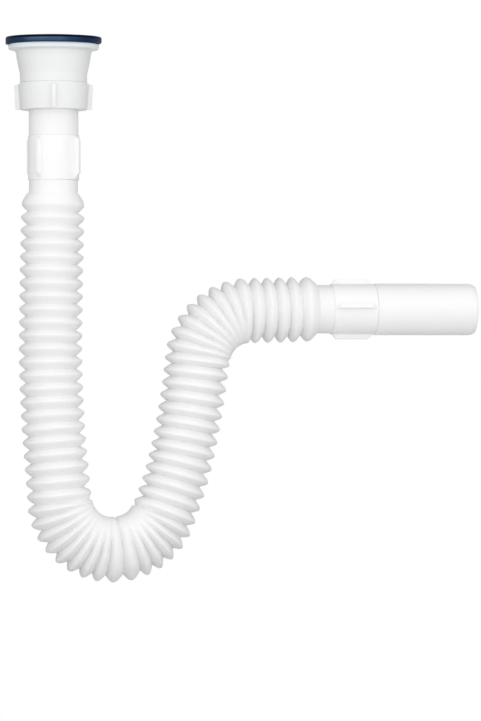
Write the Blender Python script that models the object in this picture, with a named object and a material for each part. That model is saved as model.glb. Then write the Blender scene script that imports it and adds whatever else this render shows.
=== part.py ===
"""Flexible sink trap with a flared sink cup, a union nut, two ribbed collars and one corrugated hose.

The origin is the centre of the gasket's top face, where the trap meets the underside of the sink.
+Z points up, +X points towards the outlet, and the hose lies in the XZ plane.
"""

import math

import bmesh
import bpy
from mathutils import Matrix, Vector

MM = 0.001

# Space between pieces that seat on or in each other, and between pieces that turn in each other
FIT_GAP = 0.3 * MM

# Facets round a turned piece, round the hose and round a small piece
TURNED_SIDES = 32
HOSE_SIDES = 18
SMALL_SIDES = 20

# Sink gasket
GASKET_OVERHANG = 1.7 * MM
GASKET_HOLE_RADIUS = 22.0 * MM
GASKET_THICKNESS = 4.4 * MM
GASKET_EDGE = 0.7 * MM

# Cup: flange, cone and the threaded spigot below it
FLANGE_RADIUS = 28.8 * MM
FLANGE_THICKNESS = 3.2 * MM
FLANGE_FILLET = 3.4 * MM
CUP_DEPTH = 24.2 * MM
CUP_WALL = 2.2 * MM
CONE_TOP_RADIUS = 24.0 * MM
CONE_FOOT_RADIUS = 21.3 * MM
CUP_BAND = 4.2 * MM
SPIGOT_RADIUS = 19.9 * MM
SPIGOT_LENGTH = 9.9 * MM
SPIGOT_WALL = 2.5 * MM
SPIGOT_LEAD = 0.6 * MM

# Cross inside the cup that holds the screw insert
WEB_COUNT = 4
WEB_FIRST_ANGLE = math.radians(45)
WEB_THICKNESS = 2.0 * MM
WEB_HEIGHT = 12.0 * MM
WEB_DROP = 9.7 * MM
BOSS_DROP = 8.4 * MM
BOSS_HEIGHT = 13.4 * MM
BOSS_WALL = 2.1 * MM
BOSS_LEDGE_WIDTH = 0.9 * MM

# Brass insert that the strainer's screw threads into
INSERT_RADIUS = 4.0 * MM
INSERT_LENGTH = 10.0 * MM
INSERT_BORE_RADIUS = 2.65 * MM
INSERT_GROOVE_DEPTH = 0.5 * MM
INSERT_GROOVE_WIDTH = 2.0 * MM
INSERT_CHAMFER = 0.4 * MM

# Union: rubber washer, tail flange and the nut that draws them up to the spigot
WASHER_THICKNESS = 2.0 * MM
WASHER_HOLE_RADIUS = 15.2 * MM
TAIL_FLANGE_THICKNESS = 2.4 * MM
NUT_TOP_WALL = 2.4 * MM
NUT_FOOT_WALL = 1.2 * MM
NUT_CHAMFER_DROP = 1.9 * MM
NUT_CHAMFER_WIDTH = 1.1 * MM
NUT_FLOOR = 2.1 * MM
NUT_RIB_COUNT = 4
NUT_RIB_FIRST_ANGLE = math.radians(-7)
NUT_RIB_HEIGHT = 2.4 * MM
NUT_RIB_TAPER = 0.7 * MM
NUT_RIB_WIDTH = 2.8 * MM
NUT_RIB_CHAMFER = 1.5 * MM

# Rigid tail between the union and the inlet collar
TAIL_RADIUS = 15.75 * MM
TAIL_WALL = 1.6 * MM
TAIL_SHOWN = 16.5 * MM

# Ribbed collar, the same moulding at both ends of the hose
COLLAR_RADIUS = 16.3 * MM
COLLAR_WALL = 1.7 * MM
COLLAR_LENGTH = 27.8 * MM
COLLAR_EDGE = 0.5 * MM
COLLAR_STOP_WIDTH = 2.0 * MM
COLLAR_STOP_HEIGHT = 1.0 * MM
COLLAR_RIB_COUNT = 4
COLLAR_RIB_HEIGHT = 2.9 * MM
COLLAR_RIB_WIDTH = 2.6 * MM
COLLAR_RIB_LONG_CHAMFER = 3.8 * MM
COLLAR_RIB_SHORT_CHAMFER = 2.2 * MM
INLET_RIB_ANGLE = math.radians(51.5)
OUTLET_RIB_ANGLE = math.radians(-6)

# Ends that are glued into the collars
SOCKET_END_WALL = 1.3 * MM

# Corrugated hose: moulded section
HOSE_WALL = 0.8 * MM
PLEAT_WALL = 1.1 * MM
NECK_RADIUS = 15.5 * MM
ROOT_RADIUS = 16.0 * MM
PLEAT_DEPTH = 4.5 * MM
PLEAT_PITCH = 8.35 * MM
CREST_SHARE = 0.42
FIRST_CREST_SHARE = 0.6
FOLD_SHUT_AT = 0.3
FOLD_OPEN_AT = 0.65

# Corrugated hose: the shape it is bent to, in stretches from the inlet collar to the outlet collar
STRETCH_LENGTHS = {
    "inlet_neck": 8.0 * MM,
    "first_pleat": 12.3 * MM,
    "leg": 83.0 * MM,
    "leg_set": 16.7 * MM,
    "lower_leg": 58.5 * MM,
    "leg_foot": 26.2 * MM,
    "u_bend_entry": 46.6 * MM,
    "u_bend_bottom": 16.0 * MM,
    "u_bend_exit": 28.5 * MM,
    "riser_foot": 49.1 * MM,
    "riser": 49.4 * MM,
    "elbow_entry": 7.0 * MM,
    "elbow": 41.0 * MM,
    "elbow_exit": 6.7 * MM,
    "arm": 32.6 * MM,
    "last_pleat": 11.0 * MM,
    "outlet_neck": 9.6 * MM,
}

# Turn of each stretch in degrees. A positive one bends the flow towards the outlet and then up.
STRETCH_ANGLES = {
    "inlet_neck": -1.7,
    "first_pleat": 0.2,
    "leg": 1.0,
    "leg_set": 1.9,
    "lower_leg": 3.9,
    "leg_foot": -0.3,
    "u_bend_entry": 80.4,
    "u_bend_bottom": 23.3,
    "u_bend_exit": 49.6,
    "riser_foot": 10.2,
    "riser": 4.8,
    "elbow_entry": -2.0,
    "elbow": -69.7,
    "elbow_exit": -11.0,
    "arm": 1.3,
}

# Pleats moulded in each stretch. The two necks have none.
PLEAT_COUNTS = {
    "first_pleat": 1,
    "leg": 10,
    "leg_set": 2,
    "lower_leg": 7,
    "leg_foot": 3,
    "u_bend_entry": 8,
    "u_bend_bottom": 2,
    "u_bend_exit": 5,
    "riser_foot": 6,
    "riser": 6,
    "elbow_entry": 1,
    "elbow": 7,
    "elbow_exit": 1,
    "arm": 4,
    "last_pleat": 1,
}
LEVELLED_STRETCH = "last_pleat"
OUTLET_HEADING = math.radians(90)

# Outlet pipe
OUTLET_RADIUS = 16.6 * MM
OUTLET_WALL = 1.8 * MM
OUTLET_LENGTH = 65.6 * MM
OUTLET_LEAD_LENGTH = 3.8 * MM
OUTLET_LEAD_DEPTH = 1.2 * MM
OUTLET_LEAD_STEPS = 3

# Heights that follow from the sizes above, measured from the gasket's top face
FLANGE_TOP = -(GASKET_THICKNESS + FIT_GAP)
CONE_FOOT = FLANGE_TOP - CUP_DEPTH
SPIGOT_FOOT = CONE_FOOT - SPIGOT_LENGTH
WASHER_TOP = SPIGOT_FOOT - FIT_GAP
TAIL_TOP = WASHER_TOP - WASHER_THICKNESS - FIT_GAP
NUT_FLOOR_TOP = TAIL_TOP - TAIL_FLANGE_THICKNESS - FIT_GAP
NUT_FOOT = NUT_FLOOR_TOP - NUT_FLOOR
NUT_TOP = CONE_FOOT - FIT_GAP
INLET_COLLAR_TOP = NUT_FOOT - TAIL_SHOWN
INLET_COLLAR_FOOT = INLET_COLLAR_TOP - COLLAR_LENGTH
HOSE_TOP = INLET_COLLAR_FOOT - FIT_GAP

# Radii and lengths that follow from the sizes above
GASKET_RADIUS = FLANGE_RADIUS + GASKET_OVERHANG
NUT_BORE_RADIUS = SPIGOT_RADIUS + FIT_GAP
NUT_TOP_RADIUS = NUT_BORE_RADIUS + NUT_TOP_WALL
NUT_FOOT_RADIUS = NUT_BORE_RADIUS + NUT_FOOT_WALL
NUT_RIB_RADIUS = NUT_TOP_RADIUS + NUT_RIB_HEIGHT
TAIL_FLANGE_RADIUS = NUT_BORE_RADIUS - 2 * FIT_GAP
COLLAR_BORE_RADIUS = COLLAR_RADIUS - COLLAR_WALL
COLLAR_RIB_RADIUS = COLLAR_RADIUS + COLLAR_RIB_HEIGHT
SOCKET_END_RADIUS = COLLAR_BORE_RADIUS - FIT_GAP
SOCKET_END_LENGTH = (COLLAR_LENGTH - COLLAR_STOP_WIDTH) / 2
CREST_RADIUS = ROOT_RADIUS + PLEAT_DEPTH


def clear_scene():
    for old in list(bpy.data.objects):
        bpy.data.objects.remove(old, do_unlink=True)


def finish(name, colour, roughness, metallic=0.0):
    material = bpy.data.materials.new(name)
    material.use_nodes = True
    shader = material.node_tree.nodes["Principled BSDF"]
    shader.inputs["Base Color"].default_value = (*colour, 1.0)
    shader.inputs["Roughness"].default_value = roughness
    shader.inputs["Metallic"].default_value = metallic
    return material


def place(name, mesh, material=None, location=(0, 0, 0), parent=None):
    item = bpy.data.objects.new(name, mesh)
    bpy.context.scene.collection.objects.link(item)
    item.location = location
    item.parent = parent
    if material is not None:
        mesh.materials.append(material)
    return item


def finish_mesh(name, shape, smooth_angle=math.radians(40)):
    """Turns a bmesh into a mesh whose faces point outwards and whose round walls are shaded smooth."""
    bmesh.ops.recalc_face_normals(shape, faces=shape.faces)
    mesh = bpy.data.meshes.new(name)
    shape.to_mesh(mesh)
    shape.free()
    mesh.shade_smooth()
    mesh.set_sharp_from_angle(angle=smooth_angle)
    return mesh


def turned(name, outline, sides=TURNED_SIDES):
    """Spins a closed outline of (radius, height) points round the Z axis."""
    shape = bmesh.new()
    corners = [shape.verts.new((radius, 0, height)) for radius, height in outline]
    edges = [shape.edges.new((a, b)) for a, b in zip(corners, corners[1:] + corners[:1])]
    bmesh.ops.spin(
        shape, geom=corners + edges, cent=(0, 0, 0), axis=(0, 0, 1), angle=math.tau, steps=sides, use_merge=True
    )
    bmesh.ops.remove_doubles(shape, verts=shape.verts, dist=0.001 * MM)
    return finish_mesh(name, shape)


def radial_plates(name, outline, thickness, count, first_angle):
    """Upright plates of one (radius, height) outline, spaced evenly round the Z axis."""
    shape = bmesh.new()
    for index in range(count):
        face = shape.faces.new([shape.verts.new((radius, -thickness / 2, height)) for radius, height in outline])
        grown = bmesh.ops.extrude_face_region(shape, geom=[face])["geom"]
        far_side = [item for item in grown if isinstance(item, bmesh.types.BMVert)]
        bmesh.ops.translate(shape, verts=far_side, vec=(0, thickness, 0))
        turn = Matrix.Rotation(first_angle + index * math.tau / count, 3, "Z")
        bmesh.ops.rotate(shape, verts=face.verts[:] + far_side, cent=(0, 0, 0), matrix=turn)
    return finish_mesh(name, shape)


def arc(centre, radius, start, end, steps):
    """Points on a quarter or less of a circle in the (radius, height) plane."""
    angles = [start + (end - start) * step / steps for step in range(steps + 1)]
    return [(centre[0] + radius * math.cos(a), centre[1] + radius * math.sin(a)) for a in angles]


def join_with(body, tool):
    """Adds a helper shape to a body with a Boolean union. The helper itself is no part of the trap."""
    tool.hide_render = True
    tool.display_type = "WIRE"
    tool.parent = body
    modifier = body.modifiers.new(tool.name, "BOOLEAN")
    modifier.operation = "UNION"
    modifier.solver = "EXACT"
    modifier.object = tool


def cup_inner_radius(drop):
    """Inside of the cone this far below the flange's top face: parallel to its outside, one wall in."""
    share = min(drop / (CUP_DEPTH - CUP_BAND), 1.0)
    return CONE_TOP_RADIUS + (CONE_FOOT_RADIUS - CONE_TOP_RADIUS) * share - CUP_WALL


def make_gasket(material):
    outline = [
        (GASKET_HOLE_RADIUS, 0),
        (GASKET_RADIUS - GASKET_EDGE, 0),
        (GASKET_RADIUS, -GASKET_EDGE),
        (GASKET_RADIUS, GASKET_EDGE - GASKET_THICKNESS),
        (GASKET_RADIUS - GASKET_EDGE, -GASKET_THICKNESS),
        (GASKET_HOLE_RADIUS, -GASKET_THICKNESS),
    ]
    return place("sink_gasket", turned("sink_gasket", outline), material)


def make_cup(material):
    """Flange, cone and spigot in one turned wall, with the cross and boss for the screw joined on inside."""
    flange_foot = -FLANGE_THICKNESS
    neck_radius = CONE_TOP_RADIUS
    cone_foot = CONE_FOOT - FLANGE_TOP
    spigot_foot = SPIGOT_FOOT - FLANGE_TOP
    spigot_bore = SPIGOT_RADIUS - SPIGOT_WALL
    inner_foot = cup_inner_radius(CUP_DEPTH)
    fillet_centre = (neck_radius + FLANGE_FILLET, flange_foot - FLANGE_FILLET)
    outline = [(FLANGE_RADIUS, 0), (FLANGE_RADIUS, flange_foot)]
    outline += arc(fillet_centre, FLANGE_FILLET, math.pi / 2, math.pi, 3)
    outline += [
        (CONE_FOOT_RADIUS, cone_foot + CUP_BAND),
        (CONE_FOOT_RADIUS, cone_foot),
        (SPIGOT_RADIUS, cone_foot),
        (SPIGOT_RADIUS, spigot_foot + SPIGOT_LEAD),
        (SPIGOT_RADIUS - SPIGOT_LEAD, spigot_foot),
        (spigot_bore, spigot_foot),
        (spigot_bore, cone_foot - (inner_foot - spigot_bore) / 2),
        (inner_foot, cone_foot + (inner_foot - spigot_bore) / 2),
        (inner_foot, cone_foot + CUP_BAND),
        (cup_inner_radius(0), 0),
    ]
    cup = place("inlet_cup", turned("inlet_cup", outline), material, (0, 0, FLANGE_TOP))

    boss_radius = INSERT_RADIUS + FIT_GAP + BOSS_WALL
    insert_seat = -BOSS_DROP - INSERT_LENGTH - FIT_GAP
    boss_outline = [
        (boss_radius, -BOSS_DROP),
        (boss_radius, -BOSS_DROP - BOSS_HEIGHT),
        (INSERT_RADIUS - BOSS_LEDGE_WIDTH, -BOSS_DROP - BOSS_HEIGHT),
        (INSERT_RADIUS - BOSS_LEDGE_WIDTH, insert_seat),
        (INSERT_RADIUS + FIT_GAP, insert_seat),
        (INSERT_RADIUS + FIT_GAP, -BOSS_DROP),
    ]
    boss = place("cup_boss_shape", turned("cup_boss_shape", boss_outline, SMALL_SIDES))
    join_with(cup, boss)

    web_top = -WEB_DROP
    web_foot = -WEB_DROP - WEB_HEIGHT
    web_start = boss_radius - BOSS_WALL / 2
    web_outline = [
        (web_start, web_top),
        (cup_inner_radius(-web_top) + CUP_WALL / 2, web_top),
        (cup_inner_radius(-web_foot) + CUP_WALL / 2, web_foot),
        (web_start, web_foot),
    ]
    webs = radial_plates("cup_web_shape", web_outline, WEB_THICKNESS, WEB_COUNT, WEB_FIRST_ANGLE)
    join_with(cup, place("cup_web_shape", webs))
    return cup


def make_insert(material):
    """Brass sleeve with one holding groove round it."""
    groove_top = (INSERT_GROOVE_WIDTH - INSERT_LENGTH) / 2
    groove_foot = (-INSERT_GROOVE_WIDTH - INSERT_LENGTH) / 2
    groove_radius = INSERT_RADIUS - INSERT_GROOVE_DEPTH
    outline = [
        (INSERT_BORE_RADIUS + INSERT_CHAMFER, 0),
        (INSERT_RADIUS, 0),
        (INSERT_RADIUS, groove_top),
        (groove_radius, groove_top),
        (groove_radius, groove_foot),
        (INSERT_RADIUS, groove_foot),
        (INSERT_RADIUS, -INSERT_LENGTH),
        (INSERT_BORE_RADIUS, -INSERT_LENGTH),
        (INSERT_BORE_RADIUS, -INSERT_CHAMFER),
    ]
    mesh = turned("screw_insert", outline, SMALL_SIDES)
    return place("screw_insert", mesh, material, (0, 0, FLANGE_TOP - BOSS_DROP))


def make_washer(material):
    outline = [
        (WASHER_HOLE_RADIUS, 0),
        (TAIL_FLANGE_RADIUS, 0),
        (TAIL_FLANGE_RADIUS, -WASHER_THICKNESS),
        (WASHER_HOLE_RADIUS, -WASHER_THICKNESS),
    ]
    return place("flange_washer", turned("flange_washer", outline), material, (0, 0, WASHER_TOP))


def make_nut(material):
    """Union nut: a tapered skirt over the spigot, a floor under the tail flange, and grip ribs outside."""
    foot = NUT_FOOT - NUT_TOP
    floor_top = NUT_FLOOR_TOP - NUT_TOP
    hole_radius = TAIL_RADIUS + FIT_GAP
    outline = [
        (NUT_BORE_RADIUS, 0),
        (NUT_TOP_RADIUS - NUT_CHAMFER_WIDTH, 0),
        (NUT_TOP_RADIUS, -NUT_CHAMFER_DROP),
        (NUT_FOOT_RADIUS, foot),
        (hole_radius, foot),
        (hole_radius, floor_top),
        (NUT_BORE_RADIUS, floor_top),
    ]
    nut = place("coupling_nut", turned("coupling_nut", outline), material, (0, 0, NUT_TOP))

    buried_radius = (NUT_BORE_RADIUS + NUT_FOOT_RADIUS) / 2
    rib_outline = [
        (buried_radius, -FIT_GAP),
        (NUT_TOP_RADIUS - NUT_CHAMFER_WIDTH, -FIT_GAP),
        (NUT_RIB_RADIUS, -NUT_RIB_CHAMFER),
        (NUT_RIB_RADIUS - NUT_RIB_TAPER, foot + FIT_GAP),
        (buried_radius, foot + FIT_GAP),
    ]
    ribs = radial_plates("nut_rib_shape", rib_outline, NUT_RIB_WIDTH, NUT_RIB_COUNT, NUT_RIB_FIRST_ANGLE)
    join_with(nut, place("nut_rib_shape", ribs))
    return nut


def make_tail(material):
    """Rigid pipe with the flange that the union clamps and a reduced end glued into the inlet collar."""
    flange_foot = -TAIL_FLANGE_THICKNESS
    shoulder = INLET_COLLAR_TOP + FIT_GAP - TAIL_TOP
    tip = shoulder - SOCKET_END_LENGTH
    bore = TAIL_RADIUS - TAIL_WALL
    end_bore = SOCKET_END_RADIUS - SOCKET_END_WALL
    outline = [
        (bore, 0),
        (TAIL_FLANGE_RADIUS, 0),
        (TAIL_FLANGE_RADIUS, flange_foot),
        (TAIL_RADIUS, flange_foot),
        (TAIL_RADIUS, shoulder),
        (SOCKET_END_RADIUS, shoulder),
        (SOCKET_END_RADIUS, tip),
        (end_bore, tip),
        (end_bore, shoulder + TAIL_WALL / 2),
        (bore, shoulder + TAIL_WALL * 3 / 2),
    ]
    return place("inlet_tail", turned("inlet_tail", outline), material, (0, 0, TAIL_TOP))


def collar_mesh(name):
    """Turned sleeve with a stop ring inside. Its hose end lies at height 0 and its pipe end above."""
    stop_low = (COLLAR_LENGTH - COLLAR_STOP_WIDTH) / 2
    stop_high = (COLLAR_LENGTH + COLLAR_STOP_WIDTH) / 2
    stop_radius = COLLAR_BORE_RADIUS - COLLAR_STOP_HEIGHT
    outline = [
        (COLLAR_BORE_RADIUS, 0),
        (COLLAR_RADIUS - COLLAR_EDGE, 0),
        (COLLAR_RADIUS, COLLAR_EDGE),
        (COLLAR_RADIUS, COLLAR_LENGTH - COLLAR_EDGE),
        (COLLAR_RADIUS - COLLAR_EDGE, COLLAR_LENGTH),
        (COLLAR_BORE_RADIUS, COLLAR_LENGTH),
        (COLLAR_BORE_RADIUS, stop_high),
        (stop_radius, stop_high),
        (stop_radius, stop_low),
        (COLLAR_BORE_RADIUS, stop_low),
    ]
    return turned(name, outline)


def make_collar(name, material, location, parent, rib_angle, foot_chamfer, top_chamfer):
    """Collar with grip ribs along its whole length. The ribs' long chamfer faces down the flow."""
    collar = place(name, collar_mesh(name), material, location, parent)
    buried_radius = COLLAR_RADIUS - COLLAR_WALL / 2
    foot = FIT_GAP
    top = COLLAR_LENGTH - FIT_GAP
    rib_outline = [
        (buried_radius, foot),
        (COLLAR_RADIUS - COLLAR_EDGE, foot),
        (COLLAR_RIB_RADIUS, foot + foot_chamfer),
        (COLLAR_RIB_RADIUS, top - top_chamfer),
        (COLLAR_RADIUS - COLLAR_EDGE, top),
        (buried_radius, top),
    ]
    rib_name = name + "_rib_shape"
    ribs = radial_plates(rib_name, rib_outline, COLLAR_RIB_WIDTH, COLLAR_RIB_COUNT, rib_angle)
    join_with(collar, place(rib_name, ribs))
    return collar


def make_outlet_pipe(material, location, parent):
    """Straight pipe for the drain. Its shoulder lies at height 0, and its reduced end below is glued in."""
    bore = OUTLET_RADIUS - OUTLET_WALL
    end_bore = SOCKET_END_RADIUS - SOCKET_END_WALL
    outline = [
        (end_bore, -SOCKET_END_LENGTH),
        (SOCKET_END_RADIUS, -SOCKET_END_LENGTH),
        (SOCKET_END_RADIUS, 0),
        (OUTLET_RADIUS, 0),
    ]
    for step in range(OUTLET_LEAD_STEPS + 1):
        angle = math.pi / 2 * step / OUTLET_LEAD_STEPS
        radius = OUTLET_RADIUS - OUTLET_LEAD_DEPTH * (1 - math.cos(angle))
        outline.append((radius, OUTLET_LENGTH - OUTLET_LEAD_LENGTH * (1 - math.sin(angle))))
    outline += [
        (bore, OUTLET_LENGTH),
        (bore, OUTLET_WALL),
        (end_bore, 0),
    ]
    return place("outlet_pipe", turned("outlet_pipe", outline), material, location, parent)


def route_stretches():
    """The hose's stretches as (length, turn, pleats), with one of them bent to level the outlet."""
    turns = {name: math.radians(STRETCH_ANGLES.get(name, 0.0)) for name in STRETCH_LENGTHS}
    turns[LEVELLED_STRETCH] += OUTLET_HEADING - sum(turns.values())
    return [(length, turns[name], PLEAT_COUNTS.get(name, 0)) for name, length in STRETCH_LENGTHS.items()]


def route_at(distance):
    """Place and heading on the hose's centreline. Heading 0 points down, and a quarter turn points along +X."""
    place_now = Vector((0.0, 0.0, max(-distance, 0.0)))
    heading = 0.0
    left = max(distance, 0.0)
    for length, turn, _ in route_stretches():
        step = min(left, length)
        bend = turn * step / length
        chord = step if abs(bend) < 1e-9 else step * math.sin(bend / 2) / (bend / 2)
        middle = heading + bend / 2
        place_now += chord * Vector((math.sin(middle), 0.0, -math.cos(middle)))
        heading += bend
        left -= step
    place_now += left * Vector((math.sin(heading), 0.0, -math.cos(heading)))
    return place_now, heading


def openness(pitch, bend_rate, side_angle):
    """How far a pleat stands open on one side of the hose: 1 on a straight stretch, 0 where it is folded shut."""
    local_pitch = pitch * (1 - bend_rate * CREST_RADIUS * math.cos(side_angle))
    share = (local_pitch / PLEAT_PITCH - FOLD_SHUT_AT) / (FOLD_OPEN_AT - FOLD_SHUT_AT)
    share = min(max(share, 0.0), 1.0)
    return share * share * (3 - 2 * share)


def pleat_rings():
    """Every root and crest as (distance, outer radii, inner radii), with one radius for each side of the hose."""
    angles = [math.tau * side / HOSE_SIDES for side in range(HOSE_SIDES)]
    bore_radius = ROOT_RADIUS - PLEAT_WALL
    rings = []
    start = 0.0
    for length, turn, pleats in route_stretches():
        for index in range(pleats):
            pitch = length / pleats
            share = CREST_SHARE if rings else FIRST_CREST_SHARE
            open_here = [openness(pitch, turn / length, angle) for angle in angles]
            roots = [CREST_RADIUS + (ROOT_RADIUS - CREST_RADIUS) * amount for amount in open_here]
            pockets = [bore_radius + (CREST_RADIUS - PLEAT_WALL - bore_radius) * amount for amount in open_here]
            rings.append((start + pitch * index, roots, [bore_radius] * HOSE_SIDES))
            rings.append((start + pitch * (index + share), [CREST_RADIUS] * HOSE_SIDES, pockets))
        start += length
    neck_start = start - route_stretches()[-1][0]
    necks = ([NECK_RADIUS] * HOSE_SIDES, [NECK_RADIUS - HOSE_WALL] * HOSE_SIDES)
    rings[0] = (rings[0][0], *necks)
    rings.append((neck_start, *necks))
    return rings


def add_skin(shape, stations):
    """One surface of the hose: a ring of corners for each (distance, radii), joined into a tube."""
    rings = []
    for distance, radii in stations:
        centre, heading = route_at(distance)
        across = Vector((math.cos(heading), 0.0, math.sin(heading)))
        ring = []
        for side, radius in enumerate(radii):
            angle = math.tau * side / HOSE_SIDES
            offset = across * math.cos(angle) + Vector((0.0, math.sin(angle), 0.0))
            ring.append(shape.verts.new(centre + radius * offset))
        rings.append(ring)
    for near, far in zip(rings, rings[1:]):
        join_rings(shape, near, far)
    return rings


def join_rings(shape, near, far):
    for side in range(HOSE_SIDES):
        other = (side + 1) % HOSE_SIDES
        shape.faces.new((near[side], near[other], far[other], far[side]))


def make_hose(material, location):
    """One blow-moulded wall: a glued end, a neck, the pleats, the other neck and the other glued end."""
    total = sum(length for length, _, _ in route_stretches())
    pleats = pleat_rings()
    end_bore = SOCKET_END_RADIUS - SOCKET_END_WALL
    neck_bore = NECK_RADIUS - HOSE_WALL

    def even(distance, radius):
        return distance, [radius] * HOSE_SIDES

    outer = [even(-SOCKET_END_LENGTH, SOCKET_END_RADIUS), even(0.0, SOCKET_END_RADIUS), even(0.0, NECK_RADIUS)]
    inner = [even(-SOCKET_END_LENGTH, end_bore), even(HOSE_WALL, end_bore), even(3 * HOSE_WALL, neck_bore)]
    outer += [(distance, outside) for distance, outside, _ in pleats]
    inner += [(distance, inside) for distance, _, inside in pleats]
    outer += [even(total, NECK_RADIUS), even(total, SOCKET_END_RADIUS)]
    outer.append(even(total + SOCKET_END_LENGTH, SOCKET_END_RADIUS))
    inner += [even(total - 3 * HOSE_WALL, neck_bore), even(total - HOSE_WALL, end_bore)]
    inner.append(even(total + SOCKET_END_LENGTH, end_bore))

    shape = bmesh.new()
    outside = add_skin(shape, outer)
    inside = add_skin(shape, inner)
    join_rings(shape, outside[0], inside[0])
    join_rings(shape, outside[-1], inside[-1])
    return place("corrugated_hose", finish_mesh("corrugated_hose", shape), material, location)


def place_outlet_axis():
    """Empty at the hose's outlet end, with its Z axis along the flow."""
    total = sum(length for length, _, _ in route_stretches())
    end, heading = route_at(total)
    axis = bpy.data.objects.new("outlet_axis", None)
    bpy.context.scene.collection.objects.link(axis)
    axis.location = Vector((0, 0, HOSE_TOP)) + end
    axis.rotation_euler = (0, math.pi - heading, 0)
    return axis


def build():
    clear_scene()
    make_gasket(finish("gasket_rubber", (0.02, 0.10, 0.25), 0.45))
    make_cup(finish("cup_plastic", (0.80, 0.80, 0.80), 0.35))
    make_insert(finish("insert_brass", (0.72, 0.52, 0.22), 0.3, 1.0))
    make_washer(finish("washer_rubber", (0.09, 0.09, 0.10), 0.6))
    make_nut(finish("nut_plastic", (0.80, 0.80, 0.80), 0.35))
    make_tail(finish("tail_plastic", (0.82, 0.82, 0.82), 0.3))
    inlet_collar_plastic = finish("inlet_collar_plastic", (0.90, 0.90, 0.90), 0.25)
    inlet_place = (0, 0, INLET_COLLAR_FOOT)
    chamfers = (COLLAR_RIB_LONG_CHAMFER, COLLAR_RIB_SHORT_CHAMFER)
    make_collar("inlet_collar", inlet_collar_plastic, inlet_place, None, INLET_RIB_ANGLE, *chamfers)
    make_hose(finish("hose_plastic", (0.82, 0.82, 0.82), 0.4), (0, 0, HOSE_TOP))
    outlet_axis = place_outlet_axis()
    outlet_collar_plastic = finish("outlet_collar_plastic", (0.90, 0.90, 0.90), 0.25)
    outlet_place = (0, 0, FIT_GAP)
    chamfers = chamfers[::-1]
    make_collar("outlet_collar", outlet_collar_plastic, outlet_place, outlet_axis, OUTLET_RIB_ANGLE, *chamfers)
    outlet_plastic = finish("outlet_plastic", (0.82, 0.82, 0.82), 0.3)
    make_outlet_pipe(outlet_plastic, (0, 0, COLLAR_LENGTH + 2 * FIT_GAP), outlet_axis)
    bpy.context.view_layer.update()


build()
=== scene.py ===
"""Flexible sink trap: a flared cup with a gasket and a union nut, a corrugated hose between two collars,
and a straight outlet pipe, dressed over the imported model."""

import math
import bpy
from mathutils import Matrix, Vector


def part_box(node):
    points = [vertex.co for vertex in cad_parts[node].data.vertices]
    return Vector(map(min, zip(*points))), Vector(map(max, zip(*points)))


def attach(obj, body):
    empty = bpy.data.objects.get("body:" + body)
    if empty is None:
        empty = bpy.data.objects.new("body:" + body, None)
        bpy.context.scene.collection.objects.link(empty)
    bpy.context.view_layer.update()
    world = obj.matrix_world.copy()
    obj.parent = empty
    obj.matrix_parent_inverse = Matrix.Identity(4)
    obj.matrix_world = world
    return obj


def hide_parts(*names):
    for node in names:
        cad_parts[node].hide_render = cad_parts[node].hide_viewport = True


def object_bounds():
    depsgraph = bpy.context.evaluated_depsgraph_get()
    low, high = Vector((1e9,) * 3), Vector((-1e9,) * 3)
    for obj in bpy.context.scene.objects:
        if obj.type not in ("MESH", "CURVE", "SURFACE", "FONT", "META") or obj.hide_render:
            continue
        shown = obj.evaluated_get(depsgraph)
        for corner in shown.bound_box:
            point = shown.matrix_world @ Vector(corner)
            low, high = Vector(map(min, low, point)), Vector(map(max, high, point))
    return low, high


bl_info = {
    "name": "Flexible sink trap",
    "version": (1, 0, 0),
    "blender": (4, 5, 0),
    "location": "View3D > Sidebar > Sink trap",
    "description": "Builds a flexible sink trap: cup, union, collars, corrugated hose and outlet pipe",
    "category": "Add Mesh",
}

import bmesh
import bpy
from mathutils import Matrix, Vector

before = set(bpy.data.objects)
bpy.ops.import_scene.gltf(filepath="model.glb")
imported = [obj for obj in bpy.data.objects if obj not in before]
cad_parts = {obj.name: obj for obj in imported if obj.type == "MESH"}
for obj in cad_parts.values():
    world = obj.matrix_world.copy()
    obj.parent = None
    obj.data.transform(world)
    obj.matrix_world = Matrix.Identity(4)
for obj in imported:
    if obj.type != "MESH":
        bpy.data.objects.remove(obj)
CAD_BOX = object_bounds()
MM = 0.001

# Sides of the turned pieces, rounded edges and ribs
TURNED_SIDES = 96
SMALL_SIDES = 48
ROUNDING_STEPS = 4
SMOOTH_ANGLE = math.radians(32)
EDGE = 0.3 * MM
RIB_EDGE = 0.4 * MM
RIB_COUNT = 4

# Space between pieces that fit into each other
FIT_GAP = 0.3 * MM

# Gasket, cup and union
GASKET_HOLE_RADIUS = 22.0 * MM
GASKET_OVERHANG = 1.7 * MM
GASKET_THICKNESS = 4.4 * MM
FLANGE_RADIUS = 28.8 * MM
FLANGE_THICKNESS = 3.2 * MM
FLARE_RADIUS = 24.2 * MM
FLARE_DROP = 3.9 * MM
CONE_PROFILE = (
    (23.2 * MM, 10.0 * MM),
    (22.4 * MM, 14.0 * MM),
    (21.4 * MM, 18.5 * MM),
    (21.3 * MM, 21.0 * MM),
)
CUP_WALL = 2.2 * MM
CUP_BAND = 4.2 * MM
CONE_TOP_RADIUS = 24.0 * MM
CONE_FOOT_RADIUS = 21.3 * MM
CONE_LENGTH = 20.0 * MM
SPIGOT_RADIUS = 19.9 * MM
SPIGOT_LENGTH = 9.9 * MM
SPIGOT_WALL = 2.5 * MM
THREAD_CORE_RADIUS = 19.15 * MM
LEFT_SAG = 1.7
FRONT_SAG = 0.9
# Painted highlight on the gasket: its colour, and the direction across the ring along which it is strongest,
# towards the front and the back
GASKET_PAINTED_HIGHLIGHT = (0.075, 0.14, 0.235)
PAINTED_HIGHLIGHT_WAY = (0.3, 0.95)
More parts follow.
